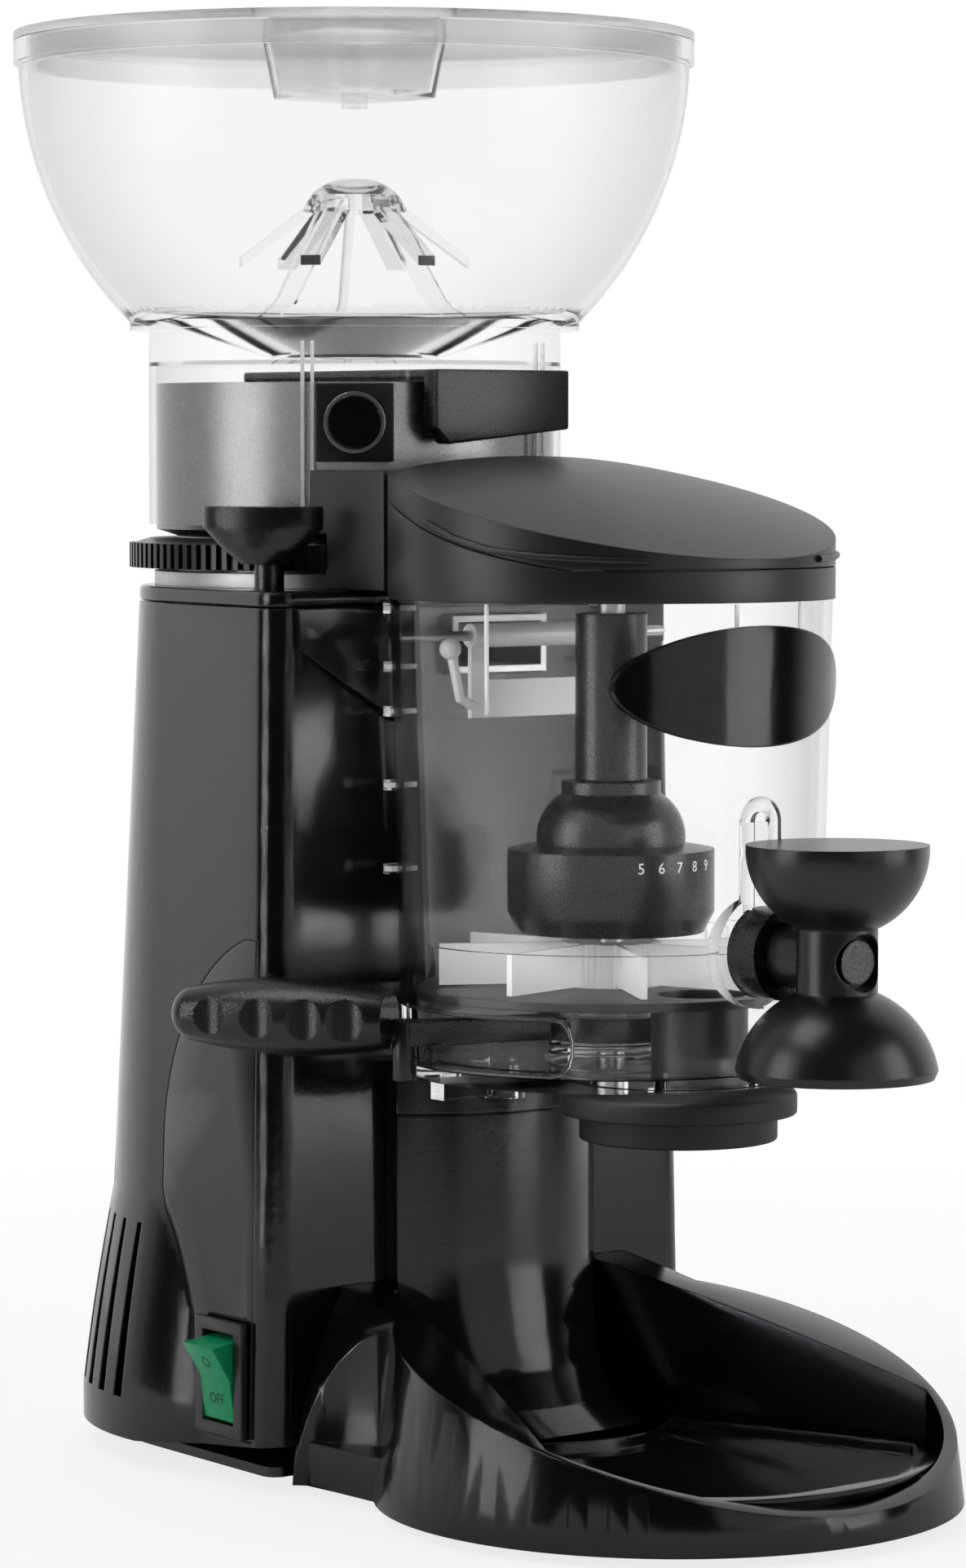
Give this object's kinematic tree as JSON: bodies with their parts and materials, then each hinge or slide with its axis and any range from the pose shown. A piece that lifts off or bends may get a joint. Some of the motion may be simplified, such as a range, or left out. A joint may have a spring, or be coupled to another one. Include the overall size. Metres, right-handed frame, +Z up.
{
  "type": "burr coffee grinder with doser",
  "caption": "Upright burr coffee grinder: clear bean hopper over a black motor tower, clear lever doser with domed lid, hinged tamper, and a bowl-shaped base with a lift-out drip tray.",
  "frame": {"origin": "middle of the footprint box on the table plane", "axes": "+Z up, -Y towards the tamper at the front, +X to the right seen from the front"},
  "size_m": [0.2095, 0.3476, 0.4318],
  "materials": {
    "black_gloss": "gloss black moulding",
    "black_satin": "satin black moulding",
    "black_rubber": "soft black rubber",
    "clear_plastic": "clear moulded plastic",
    "smoke_plastic": "slightly frosted clear plastic",
    "green_lens": "translucent green rocker",
    "satin_steel": "turned satin metal",
    "bright_steel": "bright metal",
    "cast_alloy": "cast light alloy",
    "tray_plastic": "gloss black tray",
    "copper": "varnished copper winding",
    "burr_steel": "hardened ground steel",
    "core_iron": "laminated iron core"
  },
  "bodies": {
    "housing": {"tower_shell": "black_gloss", "tower_cap": "black_gloss", "left_side_panel": "black_gloss", "right_side_panel": "black_gloss", "front_plate": "black_gloss", "front_column": "black_gloss", "base_shell": "black_gloss", "bottom_plate": "cast_alloy", "rubber_feet": "black_rubber", "switch_bezel": "black_satin", "cable_gland": "black_rubber", "motor_stator": "core_iron", "motor_windings": "copper", "bearings": "bright_steel", "lower_bracket": "cast_alloy", "tie_rods": "satin_steel", "grind_chamber": "cast_alloy", "doser_cup": "clear_plastic", "doser_base": "clear_plastic", "doser_bracket": "black_gloss", "doser_floor": "black_satin", "doser_collar": "black_satin", "duct_hood": "black_satin", "lid_hinge_pin": "satin_steel", "badge_plate": "black_gloss", "flap_pin": "satin_steel", "return_spring": "satin_steel", "spout": "black_rubber", "tamper_bracket": "clear_plastic", "tamper_stub": "black_satin", "tamper_screw": "black_satin", "stop_spring": "satin_steel"},
    "drive": {"motor_rotor": "core_iron", "motor_shaft": "bright_steel", "cooling_fan": "black_satin", "lower_burr_carrier": "cast_alloy", "lower_burr": "burr_steel"},
    "grind_setting": {"adjust_ring": "black_satin"},
    "grind_head": {"upper_burr": "burr_steel", "upper_burr_carrier": "satin_steel", "hopper": "clear_plastic", "finger_guard": "clear_plastic", "lock_block": "black_satin"},
    "hopper_cover": {"hopper_lid": "smoke_plastic"},
    "bean_gate": {"gate": "black_gloss"},
    "hopper_lock": {"lock_knob": "black_gloss", "lock_knob_ring": "bright_steel"},
    "stop_button": {"ring_stop": "black_satin", "ring_stop_pin": "satin_steel"},
    "power_rocker": {"rocker": "green_lens"},
    "doser_cover": {"doser_lid": "black_satin"},
    "dose_lever": {"lever_arm": "black_satin", "lever_grip": "black_satin"},
    "dose_wheel": {"star_wheel": "clear_plastic", "star_shaft": "satin_steel", "dose_column": "black_satin", "dose_cone": "black_satin"},
    "dose_flap": {"level_flap": "clear_plastic"},
    "tray": {"drip_tray": "tray_plastic"},
    "tamp": {"tamper": "black_satin"}
  },
  "joints": [
    {"name": "drive_spin", "type": "hinge", "parent": "housing", "child": "drive", "pos_m": [0, 0.0703, 0.1], "axis": [0, 0, 1], "continuous": true},
    {"name": "grind_adjust", "type": "hinge", "parent": "housing", "child": "grind_setting", "pos_m": [0, 0.0703, 0.273], "axis": [0, 0, 1], "range_deg": [-45, 45]},
    {"name": "burr_height", "type": "slide", "parent": "housing", "child": "grind_head", "axis": [0, 0, 1], "range_m": [-0.000187, 0.000187]},
    {"name": "hopper_lid_lift", "type": "slide", "parent": "grind_head", "child": "hopper_cover", "axis": [0, 0, 1], "range_m": [0, 0.06]},
    {"name": "gate_pull", "type": "slide", "parent": "grind_head", "child": "bean_gate", "axis": [0, 1, 0], "range_m": [-0.045, 0]},
    {"name": "lock_turn", "type": "hinge", "parent": "grind_head", "child": "hopper_lock", "pos_m": [-0.0431, 0.01514, 0.312], "axis": [-0.6157, -0.788, 0], "range_deg": [-180, 180]},
    {"name": "stop_press", "type": "slide", "parent": "housing", "child": "stop_button", "axis": [0, 0, -1], "range_m": [0, 0.004], "stiffness_N_per_m": 800, "springref_m": -0.002, "deforming": ["stop_spring"]},
    {"name": "rocker_tilt", "type": "hinge", "parent": "housing", "child": "power_rocker", "pos_m": [-0.07774, 0.03014, 0.0325], "axis": [0.0658, 0.9978, 0], "range_deg": [0, 18]},
    {"name": "doser_lid_hinge", "type": "hinge", "parent": "housing", "child": "doser_cover", "pos_m": [0, -0.0101, 0.2958], "axis": [-1, 0, 0], "range_deg": [0, 60]},
    {"name": "dose_pull", "type": "hinge", "parent": "housing", "child": "dose_lever", "pos_m": [0, -0.05, 0.138], "axis": [0, 0, 1], "range_deg": [0, 45], "stiffness_Nm_per_rad": 0.3, "springref_deg": -17.19, "deforming": ["return_spring"]},
    {"name": "dose_turn", "type": "hinge", "parent": "housing", "child": "dose_wheel", "pos_m": [0, -0.05, 0.15], "axis": [0, 0, 1], "range_deg": [0, 45]},
    {"name": "flap_swing", "type": "hinge", "parent": "housing", "child": "dose_flap", "pos_m": [0, -0.0145, 0.25], "axis": [-1, 0, 0], "range_deg": [0, 20]},
    {"name": "tray_lift", "type": "slide", "parent": "housing", "child": "tray", "axis": [0, 0, 1], "range_m": [0, 0.05]},
    {"name": "tamper_flip", "type": "hinge", "parent": "housing", "child": "tamp", "pos_m": [0, -0.1457, 0.1635], "axis": [0, 1, 0], "range_deg": [0, 180]}
  ],
  "couplings": [
    {"joint": "grind_adjust", "follows": "burr_height", "rad_per_m": 4188.8},
    {"joint": "dose_turn", "follows": "dose_pull", "ratio": 1}
  ]
}
